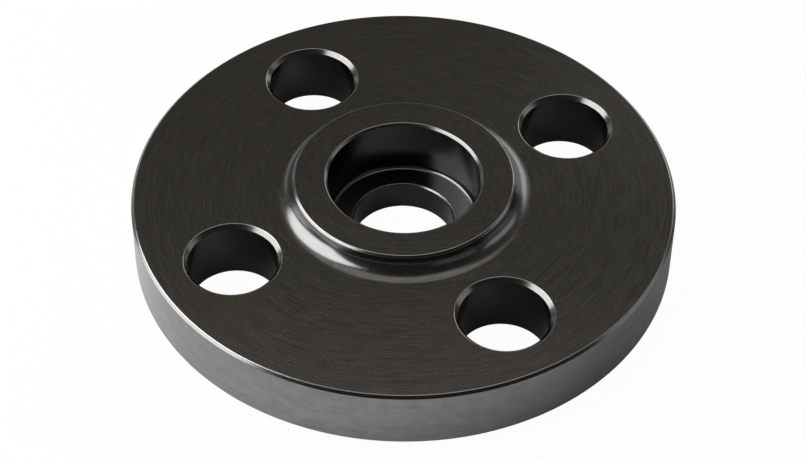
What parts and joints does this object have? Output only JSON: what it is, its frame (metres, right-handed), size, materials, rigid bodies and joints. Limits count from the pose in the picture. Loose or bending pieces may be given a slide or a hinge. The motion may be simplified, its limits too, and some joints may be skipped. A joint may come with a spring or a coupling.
{
  "type": "ring type joint flange",
  "caption": "Small dark steel pipe flange with a low hub, a stepped pipe socket and bore, round bolt holes and a ring groove in its raised joint face.",
  "frame": {"origin": "centre of the raised joint face, on the bore axis", "axes": "+Z along the bore axis from the joint face towards the hub; the bolt holes straddle +X and +Y"},
  "size_m": [0.099, 0.099, 0.0169],
  "materials": {
    "steel": "fine turned steel with a thin dark oil-black skin, satin"
  },
  "bodies": {
    "root": {"flange": "steel"}
  },
  "joints": []
}
